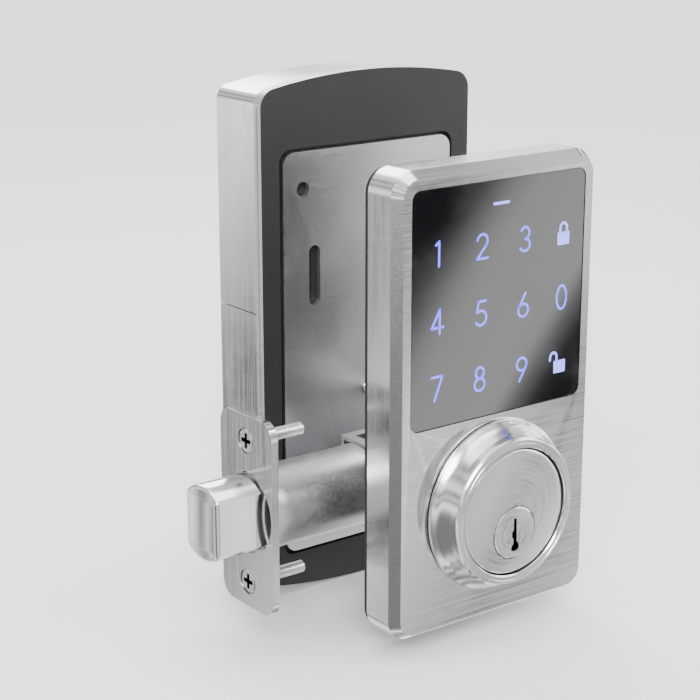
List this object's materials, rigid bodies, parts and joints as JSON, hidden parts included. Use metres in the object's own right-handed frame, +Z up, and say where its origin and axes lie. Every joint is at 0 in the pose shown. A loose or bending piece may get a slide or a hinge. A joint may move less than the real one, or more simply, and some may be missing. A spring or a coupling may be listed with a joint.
{
  "type": "keypad smart lock",
  "caption": "Motorised deadbolt with an outside touch keypad and key cylinder, an edge bolt, and an inside battery case with a thumbturn.",
  "frame": {"origin": "centre of the door's cross bore, on the door's outside face", "axes": "-X to the door's edge, +Y through the door to the inside, +Z up"},
  "size_m": [0.1133, 0.106, 0.157],
  "materials": {
    "satin_nickel": "satin nickel plate, finely brushed",
    "bright_nickel": "bright satin nickel plate",
    "touch_panel": "glossy black touch panel with lit digits",
    "light_guide": "translucent white",
    "circuit_board": "green solder mask",
    "black_plastic": "fine grain black",
    "connector_plastic": "natural nylon",
    "gasket_rubber": "closed-cell foam rubber",
    "cast_zinc": "raw die casting",
    "plated_steel": "zinc plated",
    "dark_steel": "black oxide",
    "brass": "machined",
    "chassis_plastic": "dark grey moulding",
    "gear_plastic": "natural acetal",
    "cell_jacket": "printed shrink sleeve",
    "cable_sleeve": "soft sleeve",
    "red_plastic": "moulded"
  },
  "bodies": {
    "lock_frame": {"exterior_housing": "satin_nickel", "touch_glass": "touch_panel", "keypad_light_guide": "light_guide", "keypad_board": "circuit_board", "keypad_buzzer": "black_plastic", "keypad_cable_socket": "connector_plastic", "exterior_back_plate": "cast_zinc", "exterior_gasket": "gasket_rubber", "cylinder_collar": "satin_nickel", "cylinder_body": "satin_nickel", "pin_chamber_strip": "brass", "cylinder_screw_left": "plated_steel", "cylinder_screw_right": "plated_steel", "latch_faceplate": "satin_nickel", "latch_tube": "plated_steel", "latch_case": "plated_steel", "faceplate_screw_upper": "plated_steel", "faceplate_screw_lower": "plated_steel", "interior_mounting_plate": "plated_steel", "through_bolt_upper": "plated_steel", "through_bolt_lower": "plated_steel", "interior_chassis": "chassis_plastic", "idler_axle": "plated_steel", "motor": "plated_steel", "gear_bracket": "plated_steel", "control_board": "circuit_board", "control_cable_socket": "connector_plastic", "battery_holder": "chassis_plastic", "interior_housing": "satin_nickel", "cover_screw": "dark_steel", "keypad_cable": "cable_sleeve", "driver_pin_1": "plated_steel", "driver_pin_2": "plated_steel", "driver_pin_3": "plated_steel", "driver_pin_4": "plated_steel", "driver_pin_5": "plated_steel", "battery_cell_1": "cell_jacket", "battery_cell_2": "cell_jacket", "battery_cell_3": "cell_jacket", "battery_cell_4": "cell_jacket"},
    "key_plug": {"key_plug": "bright_nickel", "plug_cap": "brass", "key_pin_1": "brass", "key_pin_2": "brass", "key_pin_3": "brass", "key_pin_4": "brass", "key_pin_5": "brass"},
    "thumbturn": {"thumbturn": "bright_nickel", "thumbturn_washer": "plated_steel", "tailpiece": "plated_steel", "latch_cam": "dark_steel", "hub_gear": "gear_plastic"},
    "deadbolt": {"deadbolt": "satin_nickel", "hardened_insert": "dark_steel", "bolt_rivet": "plated_steel", "bolt_tail": "plated_steel"},
    "idler_gear": {"idler_gear": "gear_plastic"},
    "motor_pinion": {"motor_pinion": "brass"},
    "setting_button": {"setting_button": "red_plastic"},
    "battery_cover": {"battery_cover": "satin_nickel"}
  },
  "joints": [
    {"name": "key_turn", "type": "hinge", "parent": "lock_frame", "child": "key_plug", "pos_m": [0, -0.008, -0.0062], "axis": [0, -1, 0], "range_deg": [-90, 90]},
    {"name": "thumbturn_turn", "type": "hinge", "parent": "lock_frame", "child": "thumbturn", "pos_m": [0, 0.0685, -0.0062], "axis": [0, -1, 0], "range_deg": [-53, 37]},
    {"name": "bolt_slide", "type": "slide", "parent": "lock_frame", "child": "deadbolt", "axis": [-1, 0, 0], "range_m": [-0.01496, 0.01044]},
    {"name": "idler_spin", "type": "hinge", "parent": "lock_frame", "child": "idler_gear", "pos_m": [-0.00899, 0.052, 0.01605], "axis": [0, -1, 0], "range_deg": [-111, 159]},
    {"name": "pinion_spin", "type": "hinge", "parent": "lock_frame", "child": "motor_pinion", "pos_m": [0.01129, 0.054, 0.02149], "axis": [0, -1, 0], "range_deg": [-397.5, 277.5]},
    {"name": "setting_press", "type": "slide", "parent": "lock_frame", "child": "setting_button", "axis": [0, 1, 0], "range_m": [-0.0008, 0], "stiffness_N_per_m": 300, "springref_m": 0.0004},
    {"name": "battery_cover_lift", "type": "slide", "parent": "lock_frame", "child": "battery_cover", "axis": [0, 0, 1], "range_m": [0, 0.07]}
  ],
  "couplings": [
    {"joint": "bolt_slide", "follows": "thumbturn_turn", "m_per_rad": 0.01617},
    {"joint": "idler_spin", "follows": "thumbturn_turn", "ratio": -3},
    {"joint": "pinion_spin", "follows": "thumbturn_turn", "ratio": 7.5}
  ]
}
